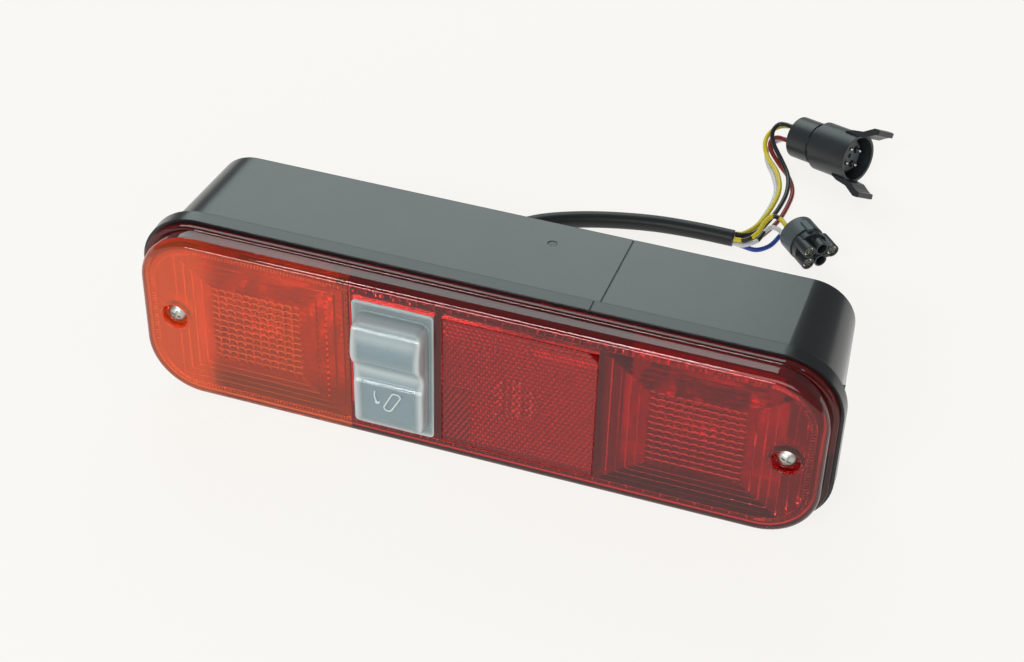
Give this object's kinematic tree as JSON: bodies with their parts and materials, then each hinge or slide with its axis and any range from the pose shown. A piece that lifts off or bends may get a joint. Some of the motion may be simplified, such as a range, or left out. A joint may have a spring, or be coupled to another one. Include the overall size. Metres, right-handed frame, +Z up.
{
  "type": "tail light cluster",
  "caption": "Rear light cluster for a tractor: deep black housing with round ends, full length red lens with amber cap, rocker switch under a soft boot, reflex plate, and a cable with two plugs",
  "frame": {"origin": "centre of the lamp's footprint, on the surface that the flange stands on", "axes": "X along the length, Y from the lens to the back, Z up; the lens faces -Y"},
  "size_m": [0.29, 0.2826, 0.084],
  "materials": {
    "housing plastic": "satin",
    "red lens": "gloss",
    "amber lens": "gloss",
    "reflex plate": "gloss",
    "soft boot": "satin",
    "rocker": "satin",
    "black plastic": "satin",
    "white plastic": "satin",
    "rubber": "matte",
    "seal rubber": "satin",
    "screw steel": "satin",
    "plated steel": "satin",
    "brass": "satin",
    "tinned brass": "gloss",
    "bulb glass": "gloss",
    "reflector": "gloss",
    "cable sheath": "satin",
    "yellow wire": "satin",
    "white wire": "satin",
    "black wire": "satin",
    "red wire": "satin",
    "blue wire": "satin",
    "connector plastic": "satin",
    "insert plastic": "satin"
  },
  "bodies": {
    "cluster": {"housing": "housing plastic", "lens_gasket": "rubber", "red_lens": "red lens", "amber_lens": "amber lens", "reflex_plate": "reflex plate", "switch_boot": "soft boot", "switch_body": "black plastic", "switch_terminals": "brass", "lens_screws": "screw steel", "lens_inserts": "brass", "light_baffle": "white plastic", "indicator_reflector": "reflector", "indicator_bulb": "bulb glass", "indicator_bulb_cap": "brass", "indicator_holder": "plated steel", "tail_reflector": "reflector", "tail_bulb": "bulb glass", "tail_bulb_cap": "brass", "tail_holder": "plated steel", "earth_strip": "brass", "fixing_inserts": "brass", "cable_gland": "rubber", "cable_sheath": "cable sheath", "wire_yellow": "yellow wire", "wire_white": "white wire", "wire_black": "black wire", "wire_red": "red wire", "wire_tracer_yellow": "yellow wire", "wire_blue": "blue wire", "wire_tracer_white": "white wire", "pin_connector_shell": "connector plastic", "pin_connector_insert": "insert plastic", "connector_pins": "tinned brass", "pin_connector_seal": "seal rubber", "socket_connector_body": "black plastic", "socket_connector_cap": "connector plastic", "socket_contacts": "brass", "socket_connector_seal": "seal rubber"},
    "rocker": {"switch_rocker": "rocker"}
  },
  "joints": [
    {"name": "rocker_tilt", "type": "hinge", "parent": "cluster", "child": "rocker", "pos_m": [-0.0317, -0.026, 0.042], "axis": [-1, 0, 0], "range_deg": [0, 16], "deforming": ["switch_boot"]}
  ]
}
